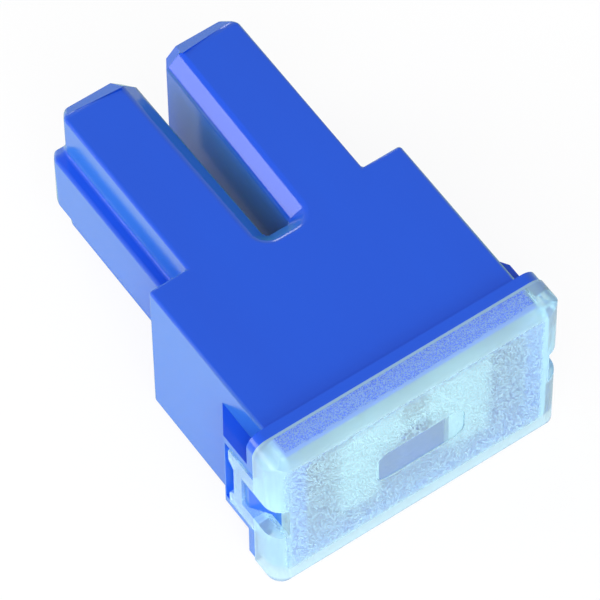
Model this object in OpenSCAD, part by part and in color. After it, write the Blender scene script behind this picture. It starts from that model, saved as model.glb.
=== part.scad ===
// Slow-blow fusible link with two female sockets: a moulded housing with two hollow legs,
// a clear clip-on cover, and one stamped fuse element with a tin pellet on its bridge.
// The legs point to +Y, the clear cover faces -Y, and a broad face looks up to +Z.
// The origin is the middle of the bounding box's underside.

/* [Head] */
// Width of the head across the two legs
head_w = 20; // [19:0.5:24]
// Thickness of the head and of the legs
head_t = 13.2; // [13:0.2:15]
// Length of the head from the shoulders to the back of the flange
head_len = 13.15; // [11:0.05:16]
// Wall round the cavity of the head
head_wall = 1.3; // [1:0.1:1.4]

/* [Flange and collar] */
// Distance the flange stands out from the narrow sides of the head
flange_side = 1.35; // [1.25:0.05:1.6]
// Distance the flange stands out from the broad faces of the head
flange_face = 0.5; // [0.4:0.05:0.8]
// Thickness of the flange
flange_t = 0.8; // [0.6:0.05:1]
// Height of the collar that the cover slips over
collar_h = 1.35; // [1.1:0.05:1.4]

/* [Legs] */
// Length of the legs beyond the shoulders
leg_len = 15.4; // [13:0.1:18]
// Width across the outer walls of the two legs
legs_w = 13.94; // [13.6:0.02:14.6]
// Width of the slot between the legs at its closed end
slot_w = 1.9; // [1.6:0.1:2.1]
// Draft of each side of the slot, in degrees
slot_draft = 1; // [0:0.25:1.25]
// Chamfer along the rim of the slot
slot_chamfer = 1.15; // [0.6:0.05:1.2]
// Chamfer along the lower outer edge of each leg
keel_chamfer = 0.65; // [0.3:0.05:0.8]
// Length of the bevel round the tip of each leg
tip_run = 0.95; // [0.5:0.05:1.1]
// Depth of the bevel round the tip of each leg
tip_drop = 0.6; // [0.3:0.05:0.7]
// Wall of a leg round its bay
leg_wall = 0.9; // [0.8:0.05:1]
// Width of the blade slot in the tip of each leg
blade_slot_w = 1.6; // [1.3:0.1:1.8]
// Height of the blade slot in the tip of each leg
blade_slot_h = 9; // [8:0.1:9.2]
// Thickness of the end wall at the tip of each leg
tip_wall = 1; // [0.8:0.1:1.2]

/* [Guide ribs] */
// Distance a guide rib stands out from its leg
rib_out = 0.97; // [0.6:0.01:1.5]
// Height of a guide rib
rib_h = 5.4; // [3:0.1:6.4]

/* [Cover] */
// Distance from the flange to the front of the cover
cover_h = 2.5; // [2.4:0.05:3]
// Thickness of the cover's front
cover_front = 1; // [0.8:0.05:1]
// Wall of the cover's skirt along the broad faces
skirt_wall = 0.75; // [0.6:0.05:0.8]
// Round along the upper front edge of the cover
cover_round = 0.9; // [0.5:0.1:1]
// Round along the upright front edges of the cover
cover_side_round = 1.4; // [0.9:0.1:1.6]
// Play between the cover and the collar
cover_play = 0.1; // [0.05:0.05:0.15]
// Width of the smooth window in the cover's front
window_w = 7; // [5:0.5:9]
// Height of the smooth window in the cover's front
window_h = 3.2; // [2.4:0.2:4]

/* [Latches] */
// Width of a latch loop
loop_w = 6.3; // [5.6:0.1:6.6]
// Thickness of a latch loop
loop_t = 0.9; // [0.8:0.05:1]
// Width of the opening in a latch loop
loop_gap = 3.2; // [2.8:0.1:3.4]
// Width of the cross bar that snaps behind the lug
loop_bar = 0.9; // [0.8:0.05:1]
// Length of the latch lug
lug_len = 1.9; // [1.4:0.1:2]
// Thickness of the two cheeks that guard a latch loop
cheek_t = 0.7; // [0.5:0.05:0.9]
// Length of the ramp that leads up to the cheeks
ramp_len = 2.1; // [1.5:0.1:2.5]
// Play between a latch loop and the housing
latch_play = 0.15; // [0.1:0.05:0.2]

/* [Fuse element] */
// Thickness of the sheet that the element is stamped from
sheet_t = 0.5; // [0.4:0.05:0.6]
// Height of the box receptacle in each leg
box_h = 9.4; // [9:0.1:9.8]
// Length of the box receptacle
box_len = 11.5; // [10.5:0.1:12]
// Gap between the two leaves that press on the blade
leaf_gap = 0.7; // [0.5:0.05:0.9]
// Width of the narrow neck that melts
neck_w = 0.9; // [0.6:0.1:1.4]
// Diameter of the tin pellet
pellet_d = 1.9; // [1.5:0.1:2.2]
// Thickness of the tin pellet
pellet_t = 0.5; // [0.3:0.1:0.6]

/* [Hidden] */
$fn = 48;
// Overlap that fuses two solids of one moulding, and the size of an endless cutter
join = 0.02;
far = 60;

// Head, flange and collar, measured from the shoulders and the middle plane
half_w = head_w / 2;
half_t = head_t / 2;
flange_back = -head_len;
flange_front = flange_back - flange_t;
flange_half_w = half_w + flange_side;
flange_half_t = half_t + flange_face;
corner_r = 1.1;
low_corner_r = 0.3;
collar_end = flange_front - collar_h;
collar_half_w = half_w + 0.2;
collar_half_t = flange_half_t - skirt_wall - cover_play;
collar_r = 0.6;
cavity_half_w = half_w - head_wall;
cavity_half_t = half_t - head_wall;
cavity_floor = -3.2;

// Cover
cover_front_y = flange_front - cover_h;
cover_half_w = flange_half_w + 0.1;
cover_half_t = flange_half_t;
cover_inner_y = cover_front_y + cover_front;
window_depth = 0.1;
window_r = 1;

// Legs and the slot between them
slot_end = -0.35;
slot_r = 0.3;
slot_half_w = slot_w / 2;
leg_out = legs_w / 2;
leg_in = slot_half_w + leg_len * tan(slot_draft);
leg_mid = (leg_out + leg_in) / 2;
leg_root = -1;
bay_half_w = (leg_out - leg_in) / 2 - leg_wall;
bay_half_h = box_h / 2;
rib_half_h = rib_h / 2;

// Latches
channel_half = loop_w / 2 + latch_play;
cheek_half = channel_half + cheek_t;
ramp_top = flange_back + 2.65;
ramp_foot = ramp_top + ramp_len;
ramp_land = 0.12;
loop_inner_x = cover_half_w - loop_t;
ear_end = flange_back + 2;
ear_rise = 0.55;
bar_half = loop_gap / 2 - 0.1;
bar_end = ear_end - ear_rise;
bar_y = bar_end - loop_bar;
lug_back = bar_y - latch_play;
lug_front = lug_back - lug_len;
lug_half = loop_gap / 2 - latch_play;
lug_top = cover_half_w - 0.2;
lug_root = collar_half_w - 0.5;
lug_land = 0.4;

// Fuse element
box_half_w = bay_half_w - 0.1;
box_half_h = box_h / 2;
box_r = 0.5;
box_seam = 0.3;
box_tip = leg_len - tip_wall - 0.3;
box_root = box_tip - box_len;
leaf_t = 0.35;
leaf_len = 8;
leaf_half_h = box_half_h - 1.2;
leaf_mid = box_root + box_len / 2 + 0.6;
element_front = cover_inner_y + 0.35;
element_back = element_front + sheet_t;
limb_low = -3.9;
limb_high = box_half_h;
limb_inner_x = 2.8;
bridge_low = 0.7;
neck_mid = bridge_low + 1.6;
neck_half_len = 1.1;

// Middle of the length, which lies over the origin
middle_y = (leg_len + cover_front_y) / 2;

blue = [0.15, 0.36, 0.83];
clear = [0.80, 0.90, 0.95, 0.5];
tinned = [0.78, 0.79, 0.80];
pewter = [0.62, 0.63, 0.65];

// Lays the part on its broad face over the origin
module lay_down() {
    translate([0, -middle_y, flange_half_t]) children();
}

module both_sides() {
    children();
    mirror([1, 0, 0]) children();
}

module both_faces() {
    children();
    mirror([0, 0, 1]) children();
}

// Box from one corner to the opposite one
module box(low, high) {
    translate(low) cube(high - low);
}

// Rectangle about the origin with half sizes a and b and round corners
module round_rect(a, b, r) {
    square([2 * (a - r), 2 * b], center = true);
    square([2 * a, 2 * (b - r)], center = true);
    for (sx = [-1, 1], sy = [-1, 1])
        translate([sx * (a - r), sy * (b - r)]) circle(r);
}

// Outline of the flange or the cover, whose lower corners are sharper than the upper ones
module rim_outline(a, b, upper_r) {
    round_rect(a, b, upper_r);
    intersection() {
        round_rect(a, b, low_corner_r);
        translate([-2 * far, -far]) square([4 * far, far]);
    }
}

// Extrusions of an outline along each axis: (x, z) along Y, (y, z) along X, (x, y) along Z
module along_y(y0, y1) {
    translate([0, y1, 0]) rotate([90, 0, 0]) linear_extrude(y1 - y0) children();
}

module along_x(x0, x1) {
    translate([x0, 0, 0]) rotate([90, 0, 90]) linear_extrude(x1 - x0) children();
}

module along_z(z0, z1) {
    translate([0, 0, z0]) linear_extrude(z1 - z0) children();
}

// Bar along Y from the shoulder to the leg's tip, inside the plan outline given as a child.
// It reaches half_h up and down and is bevelled there at its tip.
module leg_bar(half_h) {
    start = leg_len - tip_run;
    intersection() {
        along_z(-half_h, half_h) children();
        along_x(0, far)
            polygon([
                [leg_root, -half_h], [start, -half_h], [leg_len, tip_drop - half_h],
                [leg_len, half_h - tip_drop], [start, half_h], [leg_root, half_h]
            ]);
    }
}

// Takes the corner off the tip where its bevel meets the chamfer of the slot.
// The cut is drawn across the chamfer: first its distance along the chamfer's normal, then y.
module tip_corner_cut() {
    face = (half_t - leg_in - slot_chamfer) / sqrt(2);
    rotate([0, 225, 0])
        along_z(-far, 0)
            polygon([
                [face - tip_drop, leg_len], [face, leg_len - tip_run],
                [far, leg_len - tip_run], [far, far], [face - tip_drop, far]
            ]);
}

module leg() {
    start = leg_len - tip_run;
    difference() {
        leg_bar(half_t)
            polygon([
                [slot_half_w - join, leg_root], [leg_in - join, start], [leg_in + tip_drop, leg_len],
                [leg_out - tip_drop, leg_len], [leg_out, start], [leg_out, leg_root]
            ]);
        both_faces() tip_corner_cut();
        along_y(0, far)
            polygon([
                [leg_out - keel_chamfer, -half_t], [leg_out, keel_chamfer - half_t],
                [leg_out + far, keel_chamfer - half_t], [leg_out - keel_chamfer, -far]
            ]);
    }
    // Guide rib
    leg_bar(rib_half_h)
        polygon([
            [leg_out - tip_drop, leg_root], [leg_out - tip_drop, leg_len],
            [leg_out + rib_out - tip_drop, leg_len], [leg_out + rib_out, start],
            [leg_out + rib_out, leg_root]
        ]);
}

// Slot between the legs: each half leans out by the draft
module leg_slot() {
    both_sides()
        translate([0, slot_end, 0])
            rotate([0, 0, -slot_draft])
                half_slot();
}

// Half of the slot with its closed end at y = 0, flared at the rim on both broad faces
module half_slot() {
    centre_x = slot_half_w - slot_r;
    along_z(-far, far) {
        translate([-slot_half_w, slot_r]) square([2 * slot_half_w, far]);
        translate([-centre_x, 0]) square([2 * centre_x, far]);
        translate([centre_x, slot_r]) circle(slot_r);
    }
    both_faces() slot_flare(centre_x);
}

module slot_flare(centre_x) {
    low = half_t - slot_chamfer;
    rise = slot_chamfer + join;
    along_y(slot_r, far)
        polygon([[0, low], [slot_half_w, low], [slot_half_w + rise, low + rise], [0, low + rise]]);
    along_x(-slot_r, centre_x)
        polygon([[0, low], [slot_r, low], [slot_r, low + rise], [-rise, low + rise]]);
    translate([centre_x, slot_r, low]) cylinder(r1 = slot_r, r2 = slot_r + rise, h = rise);
}

// Block beside the head that guards one latch, with a ramp towards the legs
module latch_guard() {
    along_z(-cheek_half, cheek_half)
        polygon([
            [half_w - join, ramp_foot], [flange_half_w, ramp_top],
            [flange_half_w, flange_back - join], [half_w - join, flange_back - join]
        ]);
}

// Channel in the guard and the flange that the latch loop lies in
module latch_channel() {
    box([collar_half_w, -far, -channel_half], [far, ramp_top - ramp_land, channel_half]);
}

// Wedge that the loop's cross bar snaps behind
module latch_lug() {
    along_z(-lug_half, lug_half)
        polygon([
            [lug_root, lug_back], [lug_top, lug_back], [lug_top, lug_back - lug_land],
            [collar_half_w, lug_front], [lug_root, lug_front]
        ]);
}

// Bay for the receptacle, open to the head, and the blade slot in the leg's tip
module leg_bay() {
    box([leg_mid - bay_half_w, cavity_floor - join, -bay_half_h],
        [leg_mid + bay_half_w, leg_len - tip_wall, bay_half_h]);
    box([leg_mid - blade_slot_w / 2, 0, -blade_slot_h / 2],
        [leg_mid + blade_slot_w / 2, far, blade_slot_h / 2]);
}

module housing() color(blue) lay_down() {
    difference() {
        union() {
            box([-half_w, flange_back - join, -half_t], [half_w, 0, half_t]);
            along_y(flange_front, flange_back) rim_outline(flange_half_w, flange_half_t, corner_r);
            along_y(collar_end, flange_front + join)
                round_rect(collar_half_w, collar_half_t, collar_r);
            both_sides() {
                leg();
                latch_guard();
            }
        }
        leg_slot();
        along_y(-far, cavity_floor) round_rect(cavity_half_w, cavity_half_t, collar_r);
        both_sides() {
            leg_bay();
            latch_channel();
        }
    }
    both_sides() latch_lug();
}

// Outside of the cover: an upright block with rounded corners and rounded front edges
module cover_block() {
    intersection() {
        along_y(cover_front_y, flange_front) rim_outline(cover_half_w, cover_half_t, corner_r);
        along_z(-far, far)
            translate([0, cover_front_y + far]) round_rect(cover_half_w, far, cover_side_round);
        along_x(-far, far)
            translate([cover_front_y + far, 0]) rim_outline(far, cover_half_t, cover_round);
    }
}

// Arm that carries a latch loop: its cross bar sits back between two ears
module latch_arm() {
    half = loop_w / 2;
    along_x(loop_inner_x, cover_half_w)
        polygon([
            [flange_front - join, -half], [ear_end, -half], [ear_end, -bar_half - ear_rise],
            [bar_end, -bar_half], [bar_end, bar_half], [ear_end, bar_half + ear_rise],
            [ear_end, half], [flange_front - join, half]
        ]);
}

module clear_cover() color(clear) lay_down() {
    difference() {
        union() {
            difference() {
                cover_block();
                along_y(cover_inner_y, far)
                    round_rect(collar_half_w + cover_play, collar_half_t + cover_play, collar_r);
            }
            both_sides() latch_arm();
        }
        // Opening of each loop, which runs on through the skirt to the front
        both_sides()
            box([collar_half_w + cover_play, -far, -loop_gap / 2], [far, bar_y, loop_gap / 2]);
        along_y(-far, cover_front_y + window_depth)
            round_rect(window_w / 2, window_h / 2, window_r);
    }
}

// Bowed leaf inside a receptacle, standing off its outer wall
module leaf() {
    wall = box_half_w - sheet_t;
    bow = wall - leaf_gap / 2;
    bow_r = (leaf_len * leaf_len / 4 + bow * bow) / (2 * bow);
    intersection() {
        along_z(-leaf_half_h, leaf_half_h)
            translate([leaf_gap / 2 + bow_r, leaf_mid])
                difference() {
                    circle(bow_r, $fn = 180);
                    circle(bow_r - leaf_t, $fn = 180);
                }
        box([0, box_root, -far], [wall + join, box_tip, far]);
    }
}

// Box receptacle round the blade's path, folded from sheet with a seam in its inner wall
module receptacle() {
    translate([leg_mid, 0, 0]) {
        along_y(box_root, box_tip)
            difference() {
                round_rect(box_half_w, box_half_h, box_r);
                square([2 * (box_half_w - sheet_t), 2 * (box_half_h - sheet_t)], center = true);
                translate([-box_half_w, 0]) square([2 * sheet_t + box_seam, box_seam], center = true);
            }
        leaf();
        mirror([1, 0, 0]) leaf();
    }
}

// Riser from the receptacle to the front, and the limb folded inward from it
module riser_and_limb() {
    outer_x = leg_mid + box_half_w;
    box([outer_x - sheet_t, element_front, limb_low], [outer_x, box_root + join, limb_high]);
    box([limb_inner_x, element_front, limb_low], [outer_x, element_back, limb_high]);
}

module fuse_element() color(tinned) lay_down() {
    both_sides() {
        receptacle();
        riser_and_limb();
        box([neck_half_len, element_front, bridge_low], [limb_inner_x + join, element_back, limb_high]);
    }
    box([-neck_half_len - join, element_front, neck_mid - neck_w / 2],
        [neck_half_len + join, element_back, neck_mid + neck_w / 2]);
}

module tin_pellet() color(pewter) lay_down() {
    translate([0, element_back + pellet_t, neck_mid])
        rotate([90, 0, 0]) cylinder(d = pellet_d, h = pellet_t);
}

housing();
clear_cover();
fuse_element();
tin_pellet();
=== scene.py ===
"""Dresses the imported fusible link: moulded blue housing, clear clip-on cover, tinned element."""

import math

import bmesh
import bpy
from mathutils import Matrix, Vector


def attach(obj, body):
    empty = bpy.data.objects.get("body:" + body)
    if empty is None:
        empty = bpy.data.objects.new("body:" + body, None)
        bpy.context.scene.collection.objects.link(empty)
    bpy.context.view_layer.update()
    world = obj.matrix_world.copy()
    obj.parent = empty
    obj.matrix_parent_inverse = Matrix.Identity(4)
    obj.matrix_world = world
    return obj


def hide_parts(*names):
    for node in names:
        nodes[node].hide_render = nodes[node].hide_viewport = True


MM = 0.001

# Places on the object, in metres
MID_Z = 7.1 * MM
LEG_TIP_Y = 15.925 * MM
GUARD_FOOT_Y = -7.875 * MM
FLANGE_BACK_Y = -12.625 * MM
SKIRT_BACK_Y = -13.425 * MM
COLLAR_END_Y = -14.775 * MM
COVER_INNER_Y = -14.925 * MM

# Panels of the cover, seen from the front: middle and half sizes (x, z)
MIDDLE = (0, MID_Z)
PANEL_MIDDLE = (-0.45 * MM, MID_Z + 0.35 * MM)
PANEL_HALF = (10.15 * MM, 5.95 * MM)
WINDOW_HALF = (3.5 * MM, 1.6 * MM)
COLLAR_HALF = (9.9 * MM, 9 * MM)
HOLLOW_HALF = (9.9 * MM, 6.7 * MM)

# Share of the light that each part of the cover scatters, lowest and highest
GRAIN_SCATTER = (0.08, 0.64)
SPECKLE_SCATTER = (0.2, 0.38)
RIM_SCATTER = 0.43
BACK_LINE_SCATTER = 0.5
ARM_SCATTER = 0.22
WINDOW_SCATTER = 0.26

# How white the surroundings show to the eye, in a gloss and through the cover
CAMERA_WHITE = 0.88
GLOSS_WHITE = 0.22
THROUGH_WHITE = 0.25

# How strongly the room lights the object, level with it and from above
HORIZON_LEVEL = 0.5
CEILING_LEVEL = 0.25

# The camera's place and turn, and the middle of the object that the lamps point at
CAMERA_PLACE = (-0.113584, -0.169535, 0.319144)
CAMERA_TURN = (0.575105, 0.007848, -0.608741)
LAMP_AIM = (0, 0, 0.007)

# Half the width of the paper that the object lies on
FLOOR_HALF = 0.15

# The round that moulding leaves on an edge, and the angle from which an edge is sharp
BODY_ROUND = 0.28 * MM
ROUND_SEGMENTS = 3
SHARP_ANGLE = math.radians(24)

# How far a normal may lie from a flat's and still take it, on a round and on a flat
ROUND_REACH = math.radians(62)
FLAT_REACH = math.radians(25)

# Where the housing's outer edges lie: distances from its middle plane and across it
BROAD_FACE = 6.55 * MM
OUTER_WALL = 6.3 * MM
SLOT_RIM = (5.3 * MM, 5.6 * MM)
SLOT_HALF = 1.4 * MM
LONG_EDGE = 3 * MM
GUARD_INNER = 9.9 * MM
GUARD_HALF = 6 * MM


def linear(hex_colour):
    """The linear values of an sRGB hex colour, as a shader socket takes them."""
    channels = [int(hex_colour[i : i + 2], 16) / 255 for i in (1, 3, 5)]
    return [
        c / 12.92 if c <= 0.04045 else ((c + 0.055) / 1.055) ** 2.4 for c in channels
    ] + [1.0]


def add_node(tree, kind, settings=None, inputs=None):
    """Adds a node with its settings. Each input is a number, a colour or a socket to link."""
    node = tree.nodes.new(kind)
    for name, value in (settings or {}).items():
        setattr(node, name, value)
    for name, given in (inputs or {}).items():
        if isinstance(given, bpy.types.NodeSocket):
            tree.links.new(given, node.inputs[name])
        else:
            node.inputs[name].default_value = given
    return node


def new_material(name):
    """A material with an empty tree, and its output node."""
    material = bpy.data.materials.new(name)
    material.use_nodes = True
    tree = material.node_tree
    tree.nodes.clear()
    return material, tree, add_node(tree, "ShaderNodeOutputMaterial")


# ---------------------------------------------------------------- materials


def moulded_nylon():
    """Glass-filled nylon from a fine-ground mould: deep blue, semi-gloss, with faint flow marks
    and tiny pits that break up the reflections, and a pale bloom at a glancing look."""
    material, tree, output = new_material("blue_moulded_nylon")
    place = add_node(tree, "ShaderNodeTexCoord").outputs["Object"]
    # Flow marks a few millimetres long, drawn out along the legs
    stretched = add_node(
        tree, "ShaderNodeMapping", inputs={"Scale": (1, 0.35, 1), "Vector": place}
    ).outputs["Vector"]
    flow = add_node(
        tree, "ShaderNodeTexNoise", inputs={"Scale": 160, "Detail": 3, "Vector": stretched}
    ).outputs["Fac"]
    colour = add_node(
        tree,
        "ShaderNodeMix",
        {"data_type": "RGBA"},
        {0: flow, 6: linear("#114bd6"), 7: linear("#1353e0")},
    ).outputs[2]
    rough = add_node(
        tree,
        "ShaderNodeMapRange",
        inputs={
            "Value": flow,
            "From Min": 0.3,
            "From Max": 0.7,
            "To Min": 0.1,
            "To Max": 0.18,
        },
    ).outputs["Result"]
    # Grain of the ground mould, 0.15 mm
    grain = add_node(
        tree, "ShaderNodeTexNoise", inputs={"Scale": 6600, "Detail": 2, "Vector": place}
    ).outputs["Fac"]
    bump = add_node(
        tree,
        "ShaderNodeBump",
        inputs={"Strength": 0.12, "Distance": 0.02 * MM, "Height": grain},
    ).outputs["Normal"]
    skin = add_node(
        tree,
        "ShaderNodeBsdfPrincipled",
        inputs={
            "Base Color": colour,
            "Roughness": rough,
            "Normal": bump,
            "IOR": 1.53,
            "Sheen Weight": 0.3,
            "Sheen Roughness": 0.5,
            "Sheen Tint": linear("#90ffa0"),
        },
    )
    tree.links.new(skin.outputs["BSDF"], output.inputs["Surface"])
    return material


def panel_mask(tree, place, middle, half, radius, blur):
    """1 inside an upright panel with round corners, 0 outside. middle and half are (x, z)."""
    steps = (
        ("SUBTRACT", (middle[0], 0, middle[1])),
        ("ABSOLUTE", None),
        ("SUBTRACT", (half[0] - radius, 1, half[1] - radius)),
        ("MAXIMUM", (0, 0, 0)),
        ("LENGTH", None),
    )
    offset = place
    for operation, by in steps:
        node = add_node(tree, "ShaderNodeVectorMath", {"operation": operation}, {0: offset})
        if by is not None:
            node.inputs[1].default_value = by
        offset = node.outputs["Value" if operation == "LENGTH" else "Vector"]
    return add_node(
        tree,
        "ShaderNodeMapRange",
        inputs={
            "Value": offset,
            "From Min": radius - blur,
            "From Max": radius + blur,
            "To Min": 1.0,
            "To Max": 0.0,
        },
    ).outputs["Result"]


def hazy_and_clear(tree, output, share, haze_colour, rough, bump):
    """Clear polycarbonate of which a share scatters the light, and which casts hardly a shadow."""
    clear = add_node(
        tree,
        "ShaderNodeBsdfPrincipled",
        inputs={
            "Base Color": linear("#d0f0fb"),
            "IOR": 1.585,
            "Transmission Weight": 1.0,
            "Roughness": rough,
            "Normal": bump,
        },
    ).outputs["BSDF"]
    haze = add_node(
        tree, "ShaderNodeBsdfDiffuse", inputs={"Color": haze_colour, "Normal": bump}
    ).outputs["BSDF"]
    seen = add_node(
        tree, "ShaderNodeMixShader", inputs={0: share, 1: clear, 2: haze}
    ).outputs["Shader"]
    lets_through = add_node(
        tree, "ShaderNodeBsdfTransparent", inputs={"Color": linear("#f2fafe")}
    ).outputs["BSDF"]
    casts = add_node(tree, "ShaderNodeLightPath").outputs["Is Shadow Ray"]
    whole = add_node(
        tree, "ShaderNodeMixShader", inputs={0: casts, 1: seen, 2: lets_through}
    )
    tree.links.new(whole.outputs["Shader"], output.inputs["Surface"])


def clear_polycarbonate():
    """Injection-moulded polycarbonate: water-clear with a cool tint, glossy on its skirt and its
    window, speckled over the collar, and spark-eroded to a coarse grain on its front."""
    material, tree, output = new_material("clear_polycarbonate")
    place = add_node(tree, "ShaderNodeTexCoord").outputs["Object"]
    axes = add_node(tree, "ShaderNodeSeparateXYZ", inputs={"Vector": place}).outputs
    y, height = axes["Y"], axes["Z"]
    # Spark-eroded grain of about 0.07 mm, which is too fine to show and is drawn at 0.11 mm,
    # and a finer speckle on the skirt, drawn at 0.08 mm
    pits, speckle = (
        add_node(
            tree,
            "ShaderNodeTexNoise",
            inputs={"Scale": scale, "Detail": 0.5, "Distortion": 0.3, "Vector": place},
        ).outputs["Fac"]
        for scale in (9000, 12000)
    )
    grain_scatter, speckle_scatter = (
        add_node(
            tree,
            "ShaderNodeMapRange",
            inputs={
                "Value": noise,
                "From Min": 0.38,
                "From Max": 0.62,
                "To Min": scatter[0],
                "To Max": scatter[1],
            },
        ).outputs["Result"]
        for noise, scatter in ((pits, GRAIN_SCATTER), (speckle, SPECKLE_SCATTER))
    )
    # The collar ends in a ragged line
    ragged = add_node(
        tree,
        "ShaderNodeMath",
        {"operation": "MULTIPLY_ADD"},
        {
            0: add_node(
                tree, "ShaderNodeTexNoise", inputs={"Scale": 900, "Detail": 3, "Vector": place}
            ).outputs["Fac"],
            1: 0.6 * MM,
            2: COLLAR_END_Y - 0.45 * MM,
        },
    ).outputs[0]
    past_collar = add_node(
        tree, "ShaderNodeMath", {"operation": "SUBTRACT"}, {0: y, 1: ragged}
    ).outputs[0]
    # 1 where a coordinate lies past a line, and 0 before it
    past = {
        name: add_node(
            tree,
            "ShaderNodeMapRange",
            inputs={"Value": coordinate, "From Min": line - blur, "From Max": line + blur},
        ).outputs["Result"]
        for name, coordinate, line, blur in (
            ("collar_end", past_collar, 0, 0.05 * MM),
            ("back_line", y, SKIRT_BACK_Y - 0.2 * MM, 0.03 * MM),
            ("skirt", y, SKIRT_BACK_Y + 0.02 * MM, 0.02 * MM),
            ("front_wall", y, COVER_INNER_Y - 0.2 * MM, 0.01 * MM),
            ("foot", height, 0.3 * MM, 0.12 * MM),
        )
    }
    collar = panel_mask(tree, place, MIDDLE, COLLAR_HALF, 0.1 * MM, 0.05 * MM)
    over_collar = add_node(
        tree, "ShaderNodeMath", {"operation": "MULTIPLY"}, {0: past["collar_end"], 1: collar}
    ).outputs[0]
    panel = panel_mask(tree, place, PANEL_MIDDLE, PANEL_HALF, 0.4 * MM, 0.12 * MM)
    window = panel_mask(tree, place, MIDDLE, WINDOW_HALF, 1.0 * MM, 0.04 * MM)
    share = RIM_SCATTER
    for mask, scatter in (
        (panel, grain_scatter),
        (window, WINDOW_SCATTER),
        (over_collar, speckle_scatter),
        (past["back_line"], BACK_LINE_SCATTER),
        (past["skirt"], ARM_SCATTER),
    ):
        share = add_node(
            tree, "ShaderNodeMix", inputs={0: mask, 2: share, 3: scatter}
        ).outputs[0]
    # The hollow's walls are polished and scatter nothing
    within = panel_mask(tree, place, MIDDLE, HOLLOW_HALF, 0.5 * MM, 0.05 * MM)
    hollow = add_node(
        tree, "ShaderNodeMath", {"operation": "MULTIPLY"}, {0: within, 1: past["front_wall"]}
    ).outputs[0]
    outside = add_node(
        tree, "ShaderNodeMath", {"operation": "SUBTRACT"}, {0: 1.0, 1: hollow}
    ).outputs[0]
    bare = add_node(
        tree, "ShaderNodeMath", {"operation": "SUBTRACT", "use_clamp": True}, {0: panel, 1: window}
    ).outputs[0]
    grained, scattered = (
        add_node(
            tree, "ShaderNodeMath", {"operation": "MULTIPLY"}, {0: mask, 1: outside}
        ).outputs[0]
        for mask in (bare, share)
    )
    depth = add_node(
        tree, "ShaderNodeMath", {"operation": "MULTIPLY"}, {0: grained, 1: 0.45}
    ).outputs[0]
    bump = add_node(
        tree,
        "ShaderNodeBump",
        inputs={"Strength": depth, "Distance": 0.12 * MM, "Height": pits},
    ).outputs["Normal"]
    rough = add_node(
        tree,
        "ShaderNodeMapRange",
        inputs={"Value": grained, "To Min": 0.1, "To Max": 0.3},
    ).outputs["Result"]
    # Painted shade: the haze colour is darker at the foot of the cover, where its underside lies
    # in shade
    haze_colour = add_node(
        tree,
        "ShaderNodeMix",
        {"data_type": "RGBA"},
        {
            0: past["foot"],
            6: linear("#8fb4d4"),
            7: linear("#c4eefa"),
        },
    ).outputs[2]
    hazy_and_clear(tree, output, scattered, haze_colour, rough, bump)
    return material


def tinned_copper_alloy():
    """Matt tin plating over rolled copper alloy, with rolling streaks, and bare copper on the
    faces that look down."""
    material, tree, output = new_material("tinned_copper_alloy")
    coordinates = add_node(tree, "ShaderNodeTexCoord").outputs
    along = add_node(
        tree,
        "ShaderNodeMapping",
        inputs={"Scale": (0.08, 1, 1), "Vector": coordinates["Object"]},
    ).outputs["Vector"]
    streaks = add_node(
        tree, "ShaderNodeTexNoise", inputs={"Scale": 5000, "Detail": 2, "Vector": along}
    ).outputs["Fac"]
    patches = add_node(
        tree,
        "ShaderNodeTexNoise",
        inputs={"Scale": 420, "Detail": 2, "Vector": coordinates["Object"]},
    ).outputs["Fac"]
    plating = add_node(
        tree,
        "ShaderNodeMix",
        {"data_type": "RGBA"},
        {0: patches, 6: linear("#eef0e6"), 7: linear("#f6f8f4")},
    ).outputs[2]
    facing_up = add_node(
        tree, "ShaderNodeSeparateXYZ", inputs={"Vector": coordinates["Normal"]}
    ).outputs["Z"]
    underneath = add_node(
        tree, "ShaderNodeMath", {"operation": "LESS_THAN"}, {0: facing_up, 1: -0.5}
    ).outputs[0]
    colour = add_node(
        tree,
        "ShaderNodeMix",
        {"data_type": "RGBA"},
        {0: underneath, 6: plating, 7: linear("#e0b878")},
    ).outputs[2]
    rough = add_node(
        tree,
        "ShaderNodeMapRange",
        inputs={"Value": streaks, "To Min": 0.36, "To Max": 0.52},
    ).outputs["Result"]
    metal = add_node(
        tree,
        "ShaderNodeBsdfPrincipled",
        inputs={"Metallic": 0.35, "Base Color": colour, "Roughness": rough},
    )
    tree.links.new(metal.outputs["BSDF"], output.inputs["Surface"])
    return material


def cast_tin():
    """Cast tin pellet: dull grey with a grainy frozen skin."""
    material, tree, output = new_material("cast_tin")
    place = add_node(tree, "ShaderNodeTexCoord").outputs["Object"]
    grains = add_node(
        tree, "ShaderNodeTexVoronoi", inputs={"Scale": 3500, "Vector": place}
    ).outputs["Distance"]
    colour = add_node(
        tree,
        "ShaderNodeMix",
        {"data_type": "RGBA"},
        {0: grains, 6: linear("#a9acb0"), 7: linear("#c6c8c8")},
    ).outputs[2]
    rough = add_node(
        tree,
        "ShaderNodeMapRange",
        inputs={"Value": grains, "To Min": 0.35, "To Max": 0.55},
    ).outputs["Result"]
    bump = add_node(
        tree,
        "ShaderNodeBump",
        inputs={"Strength": 0.3, "Distance": 0.02 * MM, "Height": grains},
    ).outputs["Normal"]
    metal = add_node(
        tree,
        "ShaderNodeBsdfPrincipled",
        inputs={"Base Color": colour, "Metallic": 1.0, "Roughness": rough, "Normal": bump},
    )
    tree.links.new(metal.outputs["BSDF"], output.inputs["Surface"])
    return material


# ---------------------------------------------------------------- pieces


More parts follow.
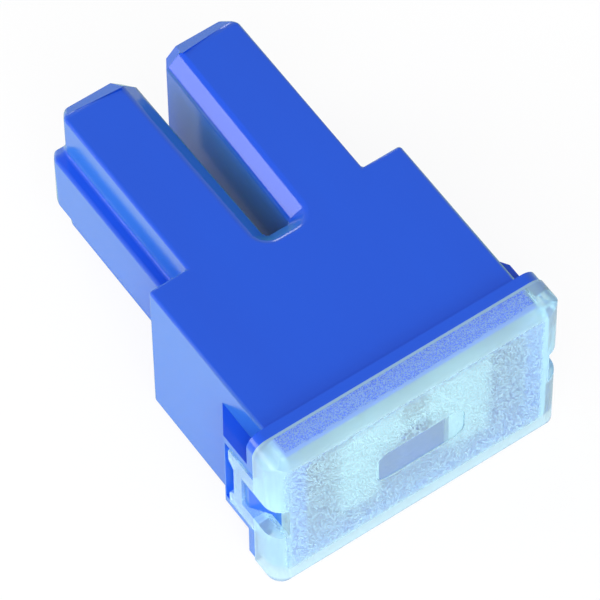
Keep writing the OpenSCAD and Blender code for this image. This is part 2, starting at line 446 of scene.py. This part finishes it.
def solid_copy(node, name):
    """A copy of a CAD node with its triangles joined into flat faces."""
    mesh = bmesh.new()
    mesh.from_mesh(node.data)
    bmesh.ops.remove_doubles(mesh, verts=mesh.verts, dist=0.001 * MM)
    bmesh.ops.dissolve_limit(
        mesh,
        angle_limit=math.radians(0.6),
        verts=mesh.verts,
        edges=mesh.edges,
        delimit={"NORMAL"},
    )
    data = bpy.data.meshes.new(name)
    obj = bpy.data.objects.new(name, data)
    bpy.context.collection.objects.link(obj)
    return obj, mesh


def is_sharp(edge):
    """Whether two faces meet at the edge in more than a soft turn."""
    return len(edge.link_faces) == 2 and edge.calc_face_angle(0) > SHARP_ANGLE


def round_edges(mesh, wanted, radius):
    """Rounds the sharp edges for which wanted(middle, edge) is true, and marks the new faces."""
    rounded = mesh.faces.layers.int.new("rounded")
    edges = [
        e
        for e in mesh.edges
        if is_sharp(e) and wanted((e.verts[0].co + e.verts[1].co) / 2, e)
    ]
    made = bmesh.ops.bevel(
        mesh,
        geom=edges,
        offset=radius,
        offset_type="OFFSET",
        segments=ROUND_SEGMENTS,
        profile=0.5,
        affect="EDGES",
        clamp_overlap=False,
        loop_slide=True,
    )
    for face in made["faces"]:
        face[rounded] = 1


def corner_normal(corner, rounded):
    """Flats keep their own normal up to their rim, and rounds turn from one flat to the next."""
    face = corner.face
    flats = [f for f in corner.vert.link_faces if not f[rounded]]
    limit = ROUND_REACH if face[rounded] else FLAT_REACH
    near = [f for f in flats if f.normal.angle(face.normal, math.pi) < limit]
    if not near:
        return corner.vert.normal.copy() if face[rounded] else face.normal.copy()
    if face[rounded]:
        near = [min(near, key=lambda f: f.normal.angle(face.normal, math.pi))]
    return sum((f.normal * f.calc_area() for f in near), Vector()).normalized()


def finish_mesh(obj, mesh):
    """Writes the mesh to its object, with smooth rounds and truly flat flats."""
    rounded = mesh.faces.layers.int["rounded"]
    mesh.normal_update()
    normals = {}
    for face in mesh.faces:
        for corner in face.loops:
            normals[(face.index, corner.vert.index)] = corner_normal(corner, rounded)
    mesh.faces.ensure_lookup_table()
    mesh.to_mesh(obj.data)
    mesh.free()
    for polygon in obj.data.polygons:
        polygon.use_smooth = True
    obj.data.normals_split_custom_set(
        [
            normals[(polygon.index, obj.data.loops[corner].vertex_index)]
            for polygon in obj.data.polygons
            for corner in polygon.loop_indices
        ]
    )


def on_body(point, edge):
    """Outer edges of the head, the legs and the ribs."""
    height = abs(point.z - MID_Z)
    if not (FLANGE_BACK_Y + 0.3 * MM < point.y < LEG_TIP_Y + 0.1 * MM):
        return False
    on_outside = height > BROAD_FACE or abs(point.x) > OUTER_WALL
    on_slot_rim = SLOT_RIM[0] < height < SLOT_RIM[1] and abs(point.x) < SLOT_HALF
    if on_slot_rim and edge.calc_length() > LONG_EDGE:
        return True
    in_guard = abs(point.x) > GUARD_INNER and point.y < GUARD_FOOT_Y and height < GUARD_HALF
    return on_outside and not in_guard


def build_housing(node):
    """The housing's own solid, with its outer edges rounded as the mould leaves them."""
    housing, mesh = solid_copy(node, "moulded_housing")
    round_edges(mesh, on_body, BODY_ROUND)
    finish_mesh(housing, mesh)
    return housing


# ---------------------------------------------------------------- studio


def white_floor():
    """White paper under the object, which shows as white and keeps the soft shadow."""
    mesh = bpy.data.meshes.new("floor")
    corners = ((-1, -1), (1, -1), (1, 1), (-1, 1))
    mesh.from_pydata(
        [(x * FLOOR_HALF, y * FLOOR_HALF, 0) for x, y in corners], [], [(0, 1, 2, 3)]
    )
    floor = bpy.data.objects.new("floor", mesh)
    bpy.context.collection.objects.link(floor)
    material, tree, output = new_material("white_paper")
    paper = add_node(
        tree, "ShaderNodeBsdfDiffuse", inputs={"Color": linear("#f4f4f4")}
    ).outputs["BSDF"]
    white = add_node(
        tree, "ShaderNodeEmission", inputs={"Color": linear("#ffffff"), "Strength": 1.02}
    ).outputs["Emission"]
    path = add_node(tree, "ShaderNodeLightPath").outputs
    # Plain to the eye, less so through something clear or in a gloss
    share = 0.0
    for ray, white_share in (
        ("Is Glossy Ray", GLOSS_WHITE),
        ("Is Transmission Ray", THROUGH_WHITE),
        ("Is Camera Ray", CAMERA_WHITE),
    ):
        share = add_node(
            tree,
            "ShaderNodeMath",
            {"operation": "MULTIPLY_ADD"},
            {0: path[ray], 1: white_share, 2: share},
        ).outputs[0]
    mixed = add_node(tree, "ShaderNodeMixShader", inputs={0: share, 1: paper, 2: white})
    tree.links.new(mixed.outputs["Shader"], output.inputs["Surface"])
    floor.data.materials.append(material)


def studio_world():
    """A white room whose ceiling is dim, so that faces turned up keep their own colour."""
    world = bpy.data.worlds.new("white_studio")
    world.use_nodes = True
    tree = world.node_tree
    tree.nodes.clear()
    way = add_node(tree, "ShaderNodeTexCoord").outputs["Generated"]
    up = add_node(tree, "ShaderNodeSeparateXYZ", inputs={"Vector": way}).outputs["Z"]
    level = add_node(
        tree,
        "ShaderNodeMapRange",
        inputs={
            "Value": up,
            "From Min": 0.0,
            "From Max": 0.8,
            "To Min": HORIZON_LEVEL,
            "To Max": CEILING_LEVEL,
        },
    ).outputs["Result"]
    path = add_node(tree, "ShaderNodeLightPath").outputs
    # As on the floor, the white shows to the eye, and less so through glass or in a gloss
    for ray, added in (("Is Transmission Ray", THROUGH_WHITE), ("Is Glossy Ray", GLOSS_WHITE)):
        level = add_node(
            tree,
            "ShaderNodeMath",
            {"operation": "MULTIPLY_ADD"},
            {0: path[ray], 1: added, 2: level},
        ).outputs[0]
    strength = add_node(
        tree, "ShaderNodeMath", {"operation": "MAXIMUM"}, {0: level, 1: path["Is Camera Ray"]}
    ).outputs[0]
    back = add_node(
        tree,
        "ShaderNodeBackground",
        inputs={"Color": linear("#ffffff"), "Strength": strength},
    )
    output = add_node(tree, "ShaderNodeOutputWorld")
    tree.links.new(back.outputs["Background"], output.inputs["Surface"])
    bpy.context.scene.world = world


def softbox(name, place, width, power, mirrored):
    """A square lamp. Only a mirrored one shows in glosses, so that none whitens a whole face."""
    light = bpy.data.lights.new(name, "AREA")
    light.shape = "SQUARE"
    light.size = width
    light.energy = power
    obj = bpy.data.objects.new(name, light)
    bpy.context.collection.objects.link(obj)
    obj.location = place
    obj.rotation_euler = (Vector(place) - Vector(LAMP_AIM)).to_track_quat("Z", "Y").to_euler()
    obj.visible_glossy = mirrored


def camera():
    """A long lens 0.38 m away, which looks down on one front corner."""
    data = bpy.data.cameras.new("camera")
    data.sensor_width = 36
    data.lens = 338.4
    data.shift_x = -0.001
    data.clip_start = 0.01
    obj = bpy.data.objects.new("camera", data)
    bpy.context.collection.objects.link(obj)
    obj.location = CAMERA_PLACE
    obj.rotation_euler = CAMERA_TURN
    bpy.context.scene.camera = obj


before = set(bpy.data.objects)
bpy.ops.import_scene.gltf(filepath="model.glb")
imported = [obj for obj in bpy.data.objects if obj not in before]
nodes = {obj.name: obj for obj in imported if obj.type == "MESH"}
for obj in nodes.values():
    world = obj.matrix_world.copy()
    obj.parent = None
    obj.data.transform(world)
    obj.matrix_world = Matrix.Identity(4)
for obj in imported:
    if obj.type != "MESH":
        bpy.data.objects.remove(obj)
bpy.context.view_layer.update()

camera()
white_floor()
studio_world()
for lamp in (
    ("low_key", (-0.42, 0.23, 0.16), 0.22, 0.62, True),
    ("left_fill", (-0.42, 0.23, 0.17), 0.4, 0.8, False),
    ("top_fill", (-0.17, -0.25, 0.46), 0.4, 1.5, False),
    ("front_fill", (-0.15, -0.52, 0.12), 0.4, 2.1, False),
    ("back_rim", (0.16, 0.47, 0.16), 0.15, 0.35, True),
):
    softbox(*lamp)
bpy.context.scene.view_settings.view_transform = "Standard"

housing = build_housing(nodes["housing"])
housing.data.materials.append(moulded_nylon())
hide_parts("housing")
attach(housing, "root")

for name, material in (
    ("clear_cover", clear_polycarbonate()),
    ("fuse_element", tinned_copper_alloy()),
    ("tin_pellet", cast_tin()),
):
    nodes[name].data.materials.clear()
    nodes[name].data.materials.append(material)
